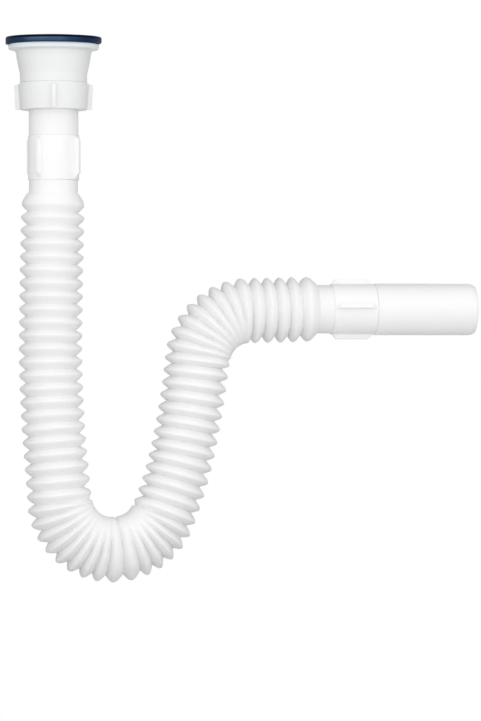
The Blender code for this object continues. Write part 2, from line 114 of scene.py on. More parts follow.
# Painted pale-blue reflection of the gasket, laid on the cup's flange
PAINTED_GASKET_REFLECTION = (0.79, 0.88, 0.92)
WEB_THICKNESS = 2.0 * MM
WEB_HEIGHT = 12.0 * MM
WEB_DROP = 9.7 * MM
BOSS_DROP = 8.4 * MM
BOSS_HEIGHT = 13.4 * MM
BOSS_WALL = 2.1 * MM
INSERT_RADIUS = 4.0 * MM
INSERT_LENGTH = 10.0 * MM
INSERT_BORE_RADIUS = 2.9 * MM
INSERT_GROOVE = 1.0 * MM
INSERT_THREAD_PITCH = 0.8 * MM
INSERT_THREAD_DEPTH = 0.36 * MM
WASHER_HOLE_RADIUS = 15.2 * MM
NUT_TOP_RADIUS = 22.6 * MM
NUT_FOOT_RADIUS = 21.4 * MM
NUT_BORE_RADIUS = 20.5 * MM
NUT_FLOOR = 2.1 * MM
NUT_RIB_RADIUS = 25.0 * MM
NUT_RIB_WIDTH = 2.8 * MM
NUT_RIB_ANGLE = math.radians(-7)
NUT_THREAD_LENGTH = 8.0 * MM
NUT_THREAD_DROP = 8.9 * MM
NUT_THREAD_DEPTH = 0.35 * MM
TAIL_RADIUS = 15.75 * MM
TAIL_WALL = 1.6 * MM
TAIL_FLANGE = 2.4 * MM
WASHER_BLOOM = (0.11, 0.11, 0.115)

# How far a piece reaches into the space that the model leaves between it and the next one
SEAM_COVER = 0.28 * MM

# Collars and outlet pipe
COLLAR_RADIUS = 16.3 * MM
COLLAR_WALL = 1.7 * MM
COLLAR_LENGTH = 27.8 * MM
COLLAR_RIB_RADIUS = 19.2 * MM
COLLAR_RIB_WIDTH = 2.6 * MM
LONG_CHAMFER = 3.8 * MM
SHORT_CHAMFER = 2.2 * MM
INLET_RIB_ANGLE = math.radians(51.5)
OUTLET_RIB_ANGLE = math.radians(-6)
OUTLET_RADIUS = 16.6 * MM
OUTLET_WALL = 1.8 * MM
COLLAR_STOP = 1.0 * MM

# Rounded lead at the outlet's end: depth below the outside, distance from the end, rounding
OUTLET_LEAD = (
    (0.0, 3.8 * MM, 2.5 * MM),
    (0.45 * MM, 1.5 * MM, 2.0 * MM),
    (1.2 * MM, 0.0, 0.4 * MM),
)

# Hose route in stretches: length, turn in degrees, pleats, crest radius. The model has the same route.
HOSE_STRETCHES = {
    "inlet_neck": (8.0, -1.7, 0, 20.2),
    "first_pleat": (12.3, 0.2, 1, 19.7),
    "leg": (83.0, 1.0, 10, 20.2),
    "leg_set": (16.7, 1.9, 2, 20.2),
    "lower_leg": (58.5, 3.9, 7, 20.2),
    "leg_foot": (26.2, -0.3, 3, 20.4),
    "u_bend_entry": (46.6, 80.4, 8, 20.9),
    "u_bend_bottom": (16.0, 23.3, 2, 20.9),
    "u_bend_exit": (28.5, 49.6, 5, 20.9),
    "riser_foot": (49.1, 10.2, 6, 20.7),
    "riser": (49.4, 4.8, 6, 20.7),
    "elbow_entry": (7.0, -2.0, 1, 20.8),
    "elbow": (41.0, -69.7, 7, 20.9),
    "elbow_exit": (6.7, -11.0, 1, 20.9),
    "arm": (32.6, 1.3, 4, 20.9),
    "last_pleat": (11.0, 0.0, 1, 20.7),
    "outlet_neck": (9.6, 0.0, 0, 20.2),
}
LEVELLED_STRETCH = "last_pleat"
OUTLET_HEADING = math.radians(90)
RING_PHASES = (0.0, 0.05, 0.13, 0.23, 0.33, 0.43, 0.53, 0.65, 0.79, 0.92)
CREST_PHASE = 0.42
FIRST_CREST_SHARE = 0.6
NECK_RADIUS = 15.5 * MM
SOCKET_END_RADIUS = 14.3 * MM
SOCKET_END_LENGTH = 12.9 * MM
SOCKET_END_WALL = 1.3 * MM
STEP_LENGTH = 0.05 * MM

# How far along the hose the bends and pitches of two stretches blend
EASE_REACH = 6.5 * MM

# How far bends squeeze the pleats: pitch shares at which a groove is shut and open, and a shut groove's depth
SQUEEZED_SHUT = 0.3
SQUEEZED_OPEN = 0.85
SHUT_DEPTH = 0.03

# One pleat from groove to groove: phase, height and kind of handle
PLEAT_PROFILE = (
    (0.0, 0.0, "VECTOR"),
    (0.2, 0.62, "AUTO"),
    (0.33, 0.93, "AUTO"),
    (0.42, 1.0, "AUTO"),
    (0.54, 0.93, "AUTO"),
    (0.75, 0.56, "AUTO"),
    (1.0, 0.0, "VECTOR"),
)

# Light: how bright the room is on its front and back sides, where its front lies, and the two soft boxes
FRONT_LEVEL = 1.11
BACK_LEVEL = 0.0
LIGHT_WAY = (-0.09, -1.0, 0.03)
LIGHT_BLEND = 0.15
LAMPS = {
    "front_box": ((-0.40, -2.3, 0.05), 1.2, 4.0),
    "back_box": ((0.50, 2.2, -0.10), 0.7, 28.0),
}

# Floor, which fades into the white room
FLOOR_DROP = 200 * MM
FLOOR_REACH = 0.6
FLOOR_SIDES = 96
FLOOR_PAINT = (0.8, 0.8, 0.8, 1.0)
FLOOR_WHITENESS = 0.96
FLOOR_CENTRE = (0.1, 0.0, CAD_BOX[0][2] - FLOOR_DROP)
WHITE = (1.0, 1.0, 1.0, 1.0)

# Camera of the photograph
CAMERA_TARGET = Vector((0.12051, 0.0, -0.20520))
CAMERA_DISTANCE = 2.624
CAMERA_TURN = math.radians(10)
CAMERA_FOCUS_PIXELS = 4100
CAMERA_REACH = 20.0
PHOTO_LONG_SIDE = 721
SENSOR = 36.0


def length_setting(name, description, default):
    return bpy.props.FloatProperty(name=name, description=description, default=default, unit="LENGTH")


def colour_setting(name, description, default):
    return bpy.props.FloatVectorProperty(name=name, description=description, subtype="COLOR", default=default)


class TrapSizes(bpy.types.PropertyGroup):
    """Sizes of the trap that a maker would change"""

    root_radius: length_setting("Root radius", "Outside of the hose at the foot of a pleat", 16.0 * MM)
    hose_wall: length_setting("Hose wall", "Thickness of the hose's moulded wall", 0.8 * MM)
    pleat_pitch: length_setting("Pleat pitch", "Length of one pleat on a straight stretch", 8.35 * MM)
    hose_sides: bpy.props.IntProperty(
        name="Hose sides", description="Corners round each ring of the hose", default=60
    )
    thread_pitch: length_setting("Thread pitch", "Rise of the union's thread in one turn", 2.309 * MM)
    thread_depth: length_setting("Thread depth", "Height of the union's thread ridge", 0.8 * MM)
    gasket_droop: length_setting("Gasket droop", "How far the gasket's free edge bends", 0.8 * MM)


class TrapColours(bpy.types.PropertyGroup):
    """Colours of the trap's pieces"""

    gasket: colour_setting("Gasket", "Navy blue rubber", (0.005, 0.019, 0.068))
    washer: colour_setting("Washer", "Dark grey rubber", (0.045, 0.045, 0.05))
    cup: colour_setting("Cup and nut", "Natural white plastic", (0.83, 0.835, 0.835))
    pipe: colour_setting("Tail and outlet pipe", "Natural white plastic", (0.9, 0.9, 0.9))
    collar: colour_setting("Collars", "Bright white plastic", (0.91, 0.91, 0.91))
    hose: colour_setting("Hose", "Natural white plastic, blow moulded", (0.9, 0.9, 0.898))
    brass: colour_setting("Screw insert", "Turned brass", (0.72, 0.50, 0.20))


class Value:
    """A node's output, which can be added, multiplied and so on like a number."""

    def __init__(self, graph, socket):
        self.graph = graph
        self.socket = socket

    def maths(self, operation, *others):
        inputs = dict(enumerate((self, *others)))
        return self.graph.node("ShaderNodeMath", {"operation": operation}, inputs)

    def __add__(self, other):
        return self.maths("ADD", other)

    def __mul__(self, other):
        return self.maths("MULTIPLY", other)

    def __sub__(self, other):
        return self.maths("SUBTRACT", other)

    def __rsub__(self, other):
        return self.graph.node("ShaderNodeMath", {"operation": "SUBTRACT"}, {0: other, 1: self})

    def __truediv__(self, other):
        return self.maths("DIVIDE", other)

    __radd__ = __add__
    __rmul__ = __mul__


class Graph:
    """A node tree that is built one node at a time."""

    def __init__(self, tree):
        self.tree = tree

    def node(self, kind, settings=None, inputs=None, output=0):
        """Adds one node. Its settings come first, and then the values or links of its sockets."""
        item = self.tree.nodes.new(kind)
        for name, value in (settings or {}).items():
            if name == "stops":
                self.set_stops(item.color_ramp, value)
            elif name == "curve":
                self.set_curve(item.mapping, value)
            else:
                setattr(item, name, value)
        for key, value in (inputs or {}).items():
            if isinstance(value, Value):
                self.tree.links.new(value.socket, item.inputs[key])
            else:
                item.inputs[key].default_value = value
        return Value(self, item.outputs[output]) if item.outputs else item

    @staticmethod
    def set_stops(ramp, stops):
        while len(ramp.elements) < len(stops):
            ramp.elements.new(1.0)
        for element, (position, shade) in zip(ramp.elements, stops):
            element.position = position
            element.color = (shade, shade, shade, 1.0)

    @staticmethod
    def set_curve(mapping, points):
        curve = mapping.curves[0]
        while len(curve.points) < len(points):
            curve.points.new(0.5, 0.5)
        for point, (across, up, handle) in zip(curve.points, points):
            point.location = (across, up)
            point.handle_type = handle
        mapping.update()


class Finish(Graph):
    """A material whose colour, roughness and bump come from its nodes."""

    def __init__(self, name, roughness, **sockets):
        self.material = bpy.data.materials.new(name)
        self.material.use_nodes = True
        super().__init__(self.material.node_tree)
        self.shader = self.tree.nodes["Principled BSDF"]
        self.shader.inputs["Roughness"].default_value = roughness
        for key, value in sockets.items():
            self.shader.inputs[key.replace("_", " ")].default_value = value
        self.place = self.node("ShaderNodeTexCoord", output="Object")

    def noise(self, scale, detail, stretch=(1.0, 1.0, 1.0)):
        """Cloudy pattern from 0 to 1. Its scale is in spots to a metre, and stretch squeezes them."""
        place = self.node("ShaderNodeMapping", {}, {"Vector": self.place, "Scale": stretch})
        return self.node("ShaderNodeTexNoise", {}, {"Vector": place, "Scale": scale, "Detail": detail})

    def part(self, axis):
        """One coordinate of the place on the piece, in metres."""
        return self.node("ShaderNodeSeparateXYZ", {}, {"Vector": self.place}, output=axis)

    def blend(self, share, first, second):
        """Goes from one colour to another."""
        ends = [end if isinstance(end, Value) else (*end, 1.0) for end in (first, second)]
        return self.node("ShaderNodeMix", {"data_type": "RGBA"}, {0: share, 6: ends[0], 7: ends[1]}, output=2)

    def ramp(self, value, stops):
        """Reads a value off a grey ramp."""
        return self.node("ShaderNodeValToRGB", {"stops": stops}, {"Fac": value})

    def paint(self, colour, roughness, height, depth):
        """Links what varies over the surface to the shader."""
        bump = self.node("ShaderNodeBump", {}, {"Height": height, "Distance": depth, "Strength": 1.0})
        for key, value in (("Base Color", colour), ("Roughness", roughness), ("Normal", bump)):
            self.tree.links.new(value.socket, self.shader.inputs[key])
        return self.material


def shade(colour, factor):
    """Makes a colour darker or lighter."""
    return tuple(min(part * factor, 1.0) for part in colour)


def natural_plastic(name, colour, roughness, flow=(1.0, 1.0, 1.0), painted_reflection=None):
    """White polypropylene: clouded by its flow in the mould, with fine scuffs. Its flange can take on a
    painted pale-blue reflection of the gasket.
    """
    finish = Finish(name, roughness, Specular_IOR_Level=0.02)
    clouds = finish.noise(45.0, 3.0)
    streaks = finish.noise(160.0, 2.0, flow)
    scuffs = finish.ramp(finish.noise(900.0, 4.0, flow), [(0.0, 0.0), (0.55, 0.0), (0.72, 1.0)])
    share = clouds * 0.6 + streaks * 0.4
    colours = finish.blend(share, shade(colour, 0.965), shade(colour, 1.03))
    if painted_reflection:
        # Painted reflection of the blue gasket: full from the cup's top down past the flange, fading out a
        # few millimetres lower
        drop = finish.part("Z") * (-1.0 / CONE_LENGTH)
        reflection_share = finish.ramp(drop, [(0.26, 1.0), (0.4, 0.3), (0.44, 0.0)])
        colours = finish.blend(reflection_share, colours, painted_reflection)
    rough = roughness + scuffs * 0.14 + (streaks - 0.5) * 0.1
    height = streaks * 0.7 + finish.noise(2600.0, 2.0) * 0.12 - scuffs * 0.08
    return finish.paint(colours, rough, height, 0.03 * MM)


def corrugated_plastic(name, colour):
    """Blow-moulded wall: satin, and thinner and a little greyer in places."""
    finish = Finish(name, 0.5, Specular_IOR_Level=0.02)
    clouds = finish.noise(60.0, 3.0)
    patches = finish.noise(14.0, 1.0)
    scuffs = finish.ramp(finish.noise(700.0, 4.0), [(0.0, 0.0), (0.6, 0.0), (0.78, 1.0)])
    share = clouds * 0.5 + patches * 0.5
    colours = finish.blend(share, shade(colour, 0.955), shade(colour, 1.03))
    rough = 0.5 + patches * 0.1 + scuffs * 0.16
    height = clouds * 0.5 + finish.noise(2200.0, 2.0) * 0.14 - scuffs * 0.1
    return finish.paint(colours, rough, height, 0.05 * MM)


def rubber(name, colour, bloom_and_highlight, roughness):
    """Moulded rubber with a pale bloom in patches and a fine grain."""
    finish = Finish(name, roughness, Specular_IOR_Level=0.5)
    patches = finish.ramp(finish.noise(55.0, 4.0), [(0.0, 0.0), (0.38, 0.0), (0.75, 1.0)])
    grain = finish.noise(1800.0, 3.0)
    colours = finish.blend(patches * 0.7, colour, bloom_and_highlight)
    rough = roughness + patches * 0.16 + (grain - 0.5) * 0.2
    return finish.paint(colours, rough, grain * 0.5 + patches * 0.3, 0.06 * MM)


def gasket_finish(colour, bloom_and_highlight):
    """Navy rubber with painted shade, near black, along its top edge, and a painted highlight: a paler band
    where it faces the front and back.
    """
    finish = Finish("gasket_rubber", 0.42, Specular_IOR_Level=0.05)
    patches = finish.noise(70.0, 3.0, (1.0, 1.0, 4.0))
    drop = finish.part("Z") * (-1.0 / GASKET_THICKNESS)
    across = finish.part("Y") * PAINTED_HIGHLIGHT_WAY[1] + finish.part("X") * PAINTED_HIGHLIGHT_WAY[0]
    to_front = (across * (1.0 / FLANGE_RADIUS)).maths("ABSOLUTE")
    # Painted highlight: a paler band partway down the face, strongest where the ring faces the front and back
    band = finish.ramp(drop, [(0.0, 0.0), (0.36, 0.0), (0.54, 1.0), (0.74, 0.4), (0.88, 0.6), (1.0, 0.1)])
    front = finish.ramp(to_front, [(0.0, 0.0), (0.7, 0.08), (0.92, 0.35), (1.0, 1.0)])
    # Painted shade: the top edge of the ring near black
    body = finish.blend(finish.ramp(drop, [(0.3, 0.0), (0.46, 1.0)]), shade(colour, 0.05), colour)
    share = band * front * (patches + 0.45)
    mixed = finish.blend(share, body, bloom_and_highlight)
    grain = finish.noise(1800.0, 3.0)
    return finish.paint(mixed, 0.4 + patches * 0.2, grain * 0.5 + patches * 0.3, 0.06 * MM)


def turned_brass(name, colour):
    """Brass with fine rings from the lathe and a little tarnish."""
    finish = Finish(name, 0.28, Metallic=1.0)
    height_now = finish.part("Z")
    rings = (height_now * (math.tau / (0.35 * MM))).maths("SINE")
    tarnish = finish.noise(500.0, 3.0)
    colours = finish.blend(tarnish, shade(colour, 0.72), shade(colour, 1.05))
    return finish.paint(colours, 0.2 + tarnish * 0.22, rings * 0.5 + tarnish, 0.02 * MM)


def rounded(corners):
    """Rounds the corners of a closed outline of (radius, height, rounding), and returns its points."""
    points = []
    count = len(corners)
    for index, (radius, height, rounding) in enumerate(corners):
        here = Vector((radius, height))
        before = Vector(corners[index - 1][:2]) - here
        after = Vector(corners[(index + 1) % count][:2]) - here
        if rounding <= 0:
            points.append(here)
            continue
        half = before.angle(after) / 2
        reach = min(rounding / math.tan(half), before.length * 0.48, after.length * 0.48)
        start = here + before.normalized() * reach
        end = here + after.normalized() * reach
        for step in range(ROUNDING_STEPS + 1):
            share = step / ROUNDING_STEPS
            first = start.lerp(here, share)
            second = here.lerp(end, share)
            points.append(first.lerp(second, share))
    return points


def turned(points, sides=TURNED_SIDES):
    """Turns a closed outline of (radius, height) points round the Z axis into a closed ring."""
    shape = bmesh.new()
    rings = []
    for radius, height in points:
        ring = []
        for side in range(sides):
            angle = math.tau * side / sides
            ring.append(shape.verts.new((radius * math.cos(angle), radius * math.sin(angle), height)))
        rings.append(ring)
    for near, far in zip(rings, rings[1:] + rings[:1]):
        for side in range(sides):
            other = (side + 1) % sides
            shape.faces.new((near[side], near[other], far[other], far[side]))
    bmesh.ops.recalc_face_normals(shape, faces=shape.faces)
    return shape


def plate(outline, thickness, rounding):
    """One upright rib or web in the XZ plane: its (radius, height) outline, thickened and rounded."""
    shape = bmesh.new()
    face = shape.faces.new([shape.verts.new((radius, -thickness / 2, height)) for radius, height in outline])
    grown = bmesh.ops.extrude_face_region(shape, geom=[face])["geom"]
    far_side = [item for item in grown if isinstance(item, bmesh.types.BMVert)]
    bmesh.ops.translate(shape, verts=far_side, vec=(0, thickness, 0))
    bmesh.ops.recalc_face_normals(shape, faces=shape.faces)
    bmesh.ops.bevel(
        shape,
        geom=shape.edges[:],
        offset=rounding,
        segments=3,
        profile=0.5,
        affect="EDGES",
        clamp_overlap=True,
    )
    return shape


def piece(name, shape):
    """Makes an object of a bmesh."""
    mesh = bpy.data.meshes.new(name)
    shape.to_mesh(mesh)
    shape.free()
    item = bpy.data.objects.new(name, mesh)
    bpy.context.scene.collection.objects.link(item)
    return item


def settle(item):
    """Turns an object with its modifiers into a plain mesh."""
    bpy.context.view_layer.update()
    graph = bpy.context.evaluated_depsgraph_get()
    mesh = bpy.data.meshes.new_from_object(item.evaluated_get(graph), depsgraph=graph)
    item.modifiers.clear()
    item.data = mesh
    return item


def absorb(item, other):
    """Adds another object's mesh to this one, and removes that object."""
    shape = bmesh.new()
    shape.from_mesh(item.data)
    shape.from_mesh(other.data)
    bpy.data.objects.remove(other)
    shape.to_mesh(item.data)
    shape.free()


def fuse(item, tool):
    """Joins another object's shape on with a Boolean, and removes it."""
    modifier = item.modifiers.new("join", "BOOLEAN")
    modifier.operation = "UNION"
    modifier.solver = "EXACT"
    modifier.object = tool
    settle(item)
    bpy.data.objects.remove(tool)
    return item


def dress(item, material, body, node):
    """Gives a finished piece its material and shading, and puts it in the place of its node."""
    item.data.materials.clear()
    item.data.materials.append(material)
    item.data.polygons.foreach_set("material_index", [0] * len(item.data.polygons))
    item.data.shade_smooth()
    item.data.set_sharp_from_angle(angle=SMOOTH_ANGLE)
    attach(item, body)
    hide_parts(node)


def geometry_tree(name, sockets):
    """A new geometry tree with named inputs. Returns its graph and its inputs."""
    tree = bpy.data.node_groups.new(name, "GeometryNodeTree")
    tree.interface.new_socket("Geometry", in_out="INPUT", socket_type="NodeSocketGeometry")
    tree.interface.new_socket("Geometry", in_out="OUTPUT", socket_type="NodeSocketGeometry")
    for label, kind in sockets.items():
        tree.interface.new_socket(label, in_out="INPUT", socket_type="NodeSocket" + kind)
    graph = Graph(tree)
    entry = tree.nodes.new("NodeGroupInput")
    inputs = {socket.name: Value(graph, socket) for socket in entry.outputs if socket.name}
    return graph, inputs


def close_tree(graph, shape, material):
    """Ends a tree with plain geometry in its material."""
    whole = graph.node("GeometryNodeRealizeInstances", {}, {"Geometry": shape})
    finished = graph.node("GeometryNodeSetMaterial", {}, {"Geometry": whole, "Material": material})
    exit_node = graph.tree.nodes.new("NodeGroupOutput")
    graph.tree.links.new(finished.socket, exit_node.inputs["Geometry"])
    return graph.tree


def ring_array_tree():
    """Repeats a shape evenly round the Z axis."""
    sockets = {"Count": "Int", "First Angle": "Float", "Material": "Material"}
    graph, inputs = geometry_tree("ribs_round_axis", sockets)
    points = graph.node("GeometryNodePoints", {}, {"Count": inputs["Count"]})
    index = graph.node("GeometryNodeInputIndex")
    angle = index * math.tau / inputs["Count"] + inputs["First Angle"]
    turn = graph.node("ShaderNodeCombineXYZ", {}, {"Z": angle})
    placed = {"Points": points, "Instance": inputs["Geometry"], "Rotation": turn}
    return close_tree(graph, graph.node("GeometryNodeInstanceOnPoints", {}, placed), inputs["Material"])


def thread_tree():
    """A screw thread: a ridge of three sides that climbs a helix and runs out at both ends."""
    sockets = {name: "Float" for name in ("Radius", "Pitch", "Length", "Depth")}
    graph, inputs = geometry_tree("screw_thread", {**sockets, "Material": "Material"})
    turns = inputs["Length"] / inputs["Pitch"]
    helix = {
        "Resolution": 72,
        "Rotations": turns,
        "Start Radius": inputs["Radius"],
        "End Radius": inputs["Radius"],
        "Height": inputs["Length"],
    }
    path = graph.node("GeometryNodeCurveSpiral", {}, helix)
    along = graph.node("GeometryNodeSplineParameter")
    near_end = along.maths("MINIMUM", 1.0 - along) * turns * 4.0
    size = {"Curve": path, "Radius": near_end.maths("MINIMUM", 1.0)}
    path = graph.node("GeometryNodeSetCurveRadius", {}, size)
    ridge = graph.node("GeometryNodeCurvePrimitiveCircle", {}, {"Resolution": 3, "Radius": inputs["Depth"]})
    swept = {"Curve": path, "Profile Curve": ridge, "Fill Caps": True}
    return close_tree(graph, graph.node("GeometryNodeCurveToMesh", {}, swept), inputs["Material"])


def named(graph, name, kind="FLOAT"):
    """Reads a value that the route's points carry."""
    return graph.node("GeometryNodeInputNamedAttribute", {"data_type": kind}, {"Name": name})


def pleated_hose_tree():
    """Sweeps a round section along the hose's route, and sinks a groove into it between the pleats.
    Where a bend squeezes the pleats, their grooves close."""
    sockets = {"Sides": "Int", "Root Radius": "Float", "Pleat Pitch": "Float", "Material": "Material"}
    graph, inputs = geometry_tree("pleated_hose", sockets)

    def vector_maths(operation, first, second, output=0):
        return graph.node("ShaderNodeVectorMath", {"operation": operation}, {0: first, 1: second}, output)

    here = graph.node("GeometryNodeInputPosition")
    kind = {"data_type": "FLOAT_VECTOR", "domain": "POINT"}
    keep = {"Geometry": inputs["Geometry"], "Name": "centre", "Value": here}
    route = graph.node("GeometryNodeStoreNamedAttribute", kind, keep)
    path = graph.node("GeometryNodeMeshToCurve", {}, {"Mesh": route})
    section = {"Resolution": inputs["Sides"], "Radius": inputs["Root Radius"]}
    section = graph.node("GeometryNodeCurvePrimitiveCircle", {}, section)
    skin = graph.node("GeometryNodeCurveToMesh", {}, {"Curve": path, "Profile Curve": section})

    centre = named(graph, "centre", "FLOAT_VECTOR")
    away = vector_maths("SUBTRACT", here, centre)
    outward = graph.node("ShaderNodeVectorMath", {"operation": "NORMALIZE"}, {0: away})
    inner_side = vector_maths("DOT_PRODUCT", outward, named(graph, "across", "FLOAT_VECTOR"), output=1)
    crest = named(graph, "crest")
    bent = named(graph, "bend") * crest * inner_side
    squeezed = named(graph, "pitch") * (1.0 - bent) / inputs["Pleat Pitch"]
    steps = {"Value": squeezed, "From Min": SQUEEZED_SHUT, "From Max": SQUEEZED_OPEN, "To Min": SHUT_DEPTH}
    openness = graph.node("ShaderNodeMapRange", {"interpolation_type": "SMOOTHSTEP"}, steps)
    rise = graph.node("ShaderNodeFloatCurve", {"curve": PLEAT_PROFILE}, {"Value": named(graph, "phase")})
    pleated = crest - (crest - inputs["Root Radius"]) * (1.0 - rise) * openness
    plain = named(graph, "plain")
    radius = plain + (pleated - plain) * named(graph, "pleated")
    reach = graph.node("ShaderNodeVectorMath", {"operation": "SCALE"}, {0: outward, "Scale": radius})
    placed = {"Geometry": skin, "Position": vector_maths("ADD", centre, reach)}
    return close_tree(graph, graph.node("GeometryNodeSetPosition", {}, placed), inputs["Material"])


def grow(item, tree, **values):
    """Runs a geometry tree on an object and keeps the result as its plain mesh."""
    modifier = item.modifiers.new(tree.name, "NODES")
    modifier.node_group = tree
    for socket in tree.interface.items_tree:
        key = socket.name.lower().replace(" ", "_")
        if socket.in_out == "INPUT" and key in values:
            modifier[socket.identifier] = values[key]
    return settle(item)


def route_stretches():
    """The hose's stretches as (length, turn, pleats, crest radius), one of them bent to level the outlet."""
    turns = {name: math.radians(row[1]) for name, row in HOSE_STRETCHES.items()}
    turns[LEVELLED_STRETCH] += OUTLET_HEADING - sum(turns.values())
    return [(row[0] * MM, turns[name], row[2], row[3] * MM) for name, row in HOSE_STRETCHES.items()]


def route_at(distance, stretches):
    """Place and heading on the hose's centreline. Heading 0 points down, a quarter turn along +X."""
    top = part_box("inlet_collar")[0].z - FIT_GAP
    place_now = Vector((0.0, 0.0, top + max(-distance, 0.0)))
    heading = 0.0
    left = max(distance, 0.0)
    for length, turn, _, _ in stretches:
        step = min(left, length)
        bend = turn * step / length
        chord = step if abs(bend) < 1e-9 else step * math.sin(bend / 2) / (bend / 2)
        middle = heading + bend / 2
        place_now += chord * Vector((math.sin(middle), 0.0, -math.cos(middle)))
        heading += bend
        left -= step
    place_now += left * Vector((math.sin(heading), 0.0, -math.cos(heading)))
    return place_now, heading


def warped(phase, crest_share):
    """Where along a pleat a phase lies when its crest is moved from its usual share of the pitch."""
    if phase <= CREST_PHASE:
        return phase / CREST_PHASE * crest_share
    return crest_share + (phase - CREST_PHASE) / (1 - CREST_PHASE) * (1 - crest_share)


def eased(ring, rings):
    """A pleated ring with its pitch, bend and crest radius averaged over the rings near it."""
    if not ring[6]:
        return ring
    near = [other for other in rings if other[6] and abs(other[0] - ring[0]) < EASE_REACH]
    averages = [sum(other[column] for other in near) / len(near) for column in (2, 3, 4)]
    return (*ring[:2], *averages, *ring[5:])


def hose_rings():
    """Every ring of the hose: distance, phase, pitch, bend, crest radius, plain radius, pleated or not."""
    stretches = route_stretches()
    total = sum(length for length, _, _, _ in stretches)
    neck_crest = stretches[0][3]
    rings = []
    for distance, radius in ((-SOCKET_END_LENGTH, SOCKET_END_RADIUS), (-STEP_LENGTH, SOCKET_END_RADIUS)):
        rings.append((distance, 0.0, 1.0, 0.0, neck_crest, radius, 0.0))
    rings.append((0.0, 0.0, 1.0, 0.0, neck_crest, NECK_RADIUS, 0.0))
    start = 0.0
    first = True
    for length, turn, pleats, crest in stretches:
        for index in range(pleats):
            pitch = length / pleats
            share = FIRST_CREST_SHARE if first else CREST_PHASE
            for phase in RING_PHASES:
                pleated = 0.0 if first and phase == 0.0 else 1.0
                distance = start + pitch * (index + warped(phase, share))
                rings.append((distance, phase, pitch, turn / length, crest, NECK_RADIUS, pleated))
            first = False
        start += length
    neck_start = total - stretches[-1][0]
    rings.append((neck_start, 0.0, 1.0, 0.0, neck_crest, NECK_RADIUS, 0.0))
    rings.append((total, 0.0, 1.0, 0.0, neck_crest, NECK_RADIUS, 0.0))
    for distance in (total + STEP_LENGTH, total + SOCKET_END_LENGTH):
        rings.append((distance, 0.0, 1.0, 0.0, neck_crest, SOCKET_END_RADIUS, 0.0))
    return [eased(ring, rings) for ring in rings]


def hose_route():
    """The route as a line of points that carry what the hose's tree reads."""
    rings = hose_rings()
    stretches = route_stretches()
    stations = [route_at(ring[0], stretches) for ring in rings]
    mesh = bpy.data.meshes.new("hose_route")
    edges = [(index, index + 1) for index in range(len(rings) - 1)]
    mesh.from_pydata([place for place, _ in stations], edges, [])
    for column, name in enumerate(("phase", "pitch", "bend", "crest", "plain", "pleated"), start=1):
        attribute = mesh.attributes.new(name, "FLOAT", "POINT")
        attribute.data.foreach_set("value", [ring[column] for ring in rings])
    across = mesh.attributes.new("across", "FLOAT_VECTOR", "POINT")
    directions = [(math.cos(heading), 0.0, math.sin(heading)) for _, heading in stations]
    across.data.foreach_set("vector", [part for direction in directions for part in direction])
    item = bpy.data.objects.new("hose_route", mesh)
    bpy.context.scene.collection.objects.link(item)
    return item


class TRAP_OT_hose(bpy.types.Operator):
    """Makes the corrugated hose along its route"""

    bl_idname = "trap.hose"
    bl_label = "Corrugated hose"

    def execute(self, context):
        sizes = context.scene.trap_sizes
        material = corrugated_plastic("hose_plastic", context.scene.trap_colours.hose)
        hose = grow(
            hose_route(),
            pleated_hose_tree(),
            sides=sizes.hose_sides,
            root_radius=sizes.root_radius,
            pleat_pitch=sizes.pleat_pitch,
            material=material,
        )
        hose.name = "pleated_hose"
        shape = bmesh.new()
        shape.from_mesh(hose.data)
        bmesh.ops.recalc_face_normals(shape, faces=shape.faces)
        shape.to_mesh(hose.data)
        shape.free()
        hose.data.attributes.remove(hose.data.attributes["centre"])
        wall = hose.modifiers.new("wall", "SOLIDIFY")
        wall.thickness = sizes.hose_wall
        wall.offset = -1.0
        settle(hose)
        dress(hose, material, "hose", "corrugated_hose")
        return {"FINISHED"}


def gasket_lift(place_now, droop):
    """How the soft ring lies: its free edge sags far left and in front, and rides up below at its sides."""
    reach = math.hypot(place_now.x, place_now.y)
    to_left = max(-place_now.x / reach, 0.0) ** 12
    to_side = abs(place_now.x / reach) ** 3
    free_edge = min(max((reach - FLANGE_RADIUS) / GASKET_OVERHANG, 0.0), 1.0)
    low_side = min(max(-place_now.z / GASKET_THICKNESS, 0.0), 1.0)
    to_front = max(-place_now.y / reach, 0.0) ** 2
    sag = to_left * free_edge * low_side * LEFT_SAG + to_front * free_edge * FRONT_SAG
    return droop * (to_side * free_edge * low_side - sag)


class TRAP_OT_gasket(bpy.types.Operator):
    """Makes the rubber ring that seals the cup to the sink"""

    bl_idname = "trap.gasket"
    bl_label = "Gasket"

    def execute(self, context):
        colours = context.scene.trap_colours
        edge = FLANGE_RADIUS + GASKET_OVERHANG
        corners = [
            (GASKET_HOLE_RADIUS, 0.0, 0.6 * MM),
            (FLANGE_RADIUS - 2 * MM, 0.0, 0.0),
            (edge, 0.0, 1.1 * MM),
            (edge, -GASKET_THICKNESS, 1.3 * MM),
            (FLANGE_RADIUS, -GASKET_THICKNESS, 0.0),
            (GASKET_HOLE_RADIUS, -GASKET_THICKNESS, 0.6 * MM),
        ]
        shape = turned(rounded(corners))
        for corner in shape.verts:
            corner.co.z += gasket_lift(corner.co, context.scene.trap_sizes.gasket_droop)
        # The gasket's material has painted shade along its top edge and a painted highlight band
        material = gasket_finish(colours.gasket, GASKET_PAINTED_HIGHLIGHT)
        dress(piece("soft_gasket", shape), material, "cup", "sink_gasket")
        return {"FINISHED"}


def cup_inside(drop):
    """Inside radius of the cone this far below its top."""
    share = min(drop / CONE_LENGTH, 1.0)
    return CONE_TOP_RADIUS + (CONE_FOOT_RADIUS - CONE_TOP_RADIUS) * share - CUP_WALL


